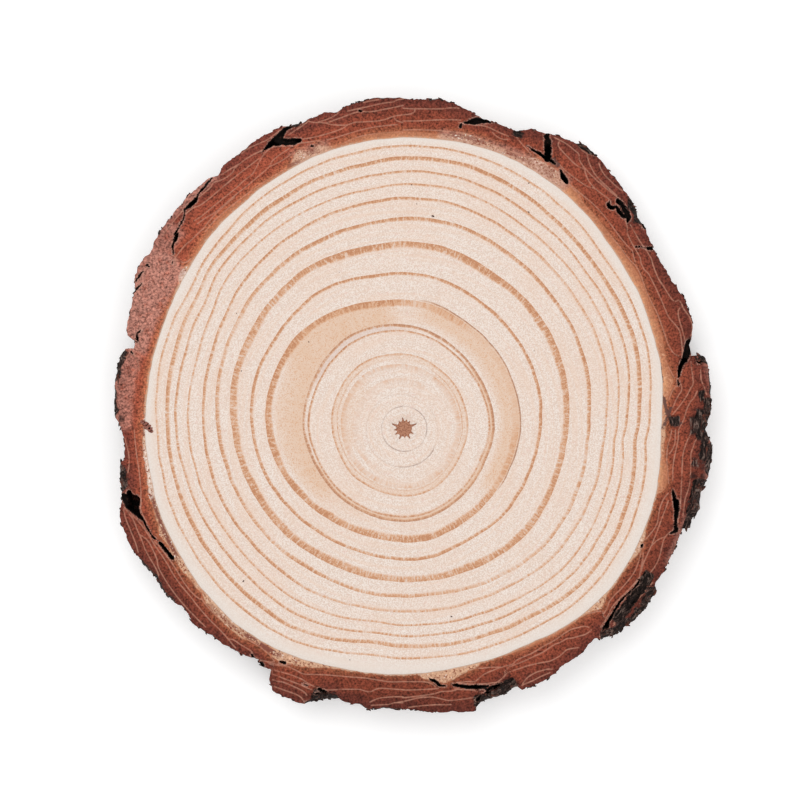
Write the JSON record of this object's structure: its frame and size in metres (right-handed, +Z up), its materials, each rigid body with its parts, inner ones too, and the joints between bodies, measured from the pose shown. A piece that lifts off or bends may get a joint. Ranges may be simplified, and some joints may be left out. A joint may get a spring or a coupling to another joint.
{
  "type": "wood slice",
  "caption": "Thin round pine slice sawn across a young stem with its bark left on, used as a coaster, craft blank or display base.",
  "frame": {"origin": "centre of the slice's bounding box, on the lower sawn face that it lies on", "axes": "+Z up through the slice, square to both sawn faces; +X to the right and +Y away in the picture, so +Y is the slightly longer way across"},
  "size_m": [0.096, 0.0986, 0.01],
  "materials": {
    "wood": "matte",
    "bark": "matte"
  },
  "bodies": {
    "root": {"wood_slice": "wood"}
  },
  "joints": []
}
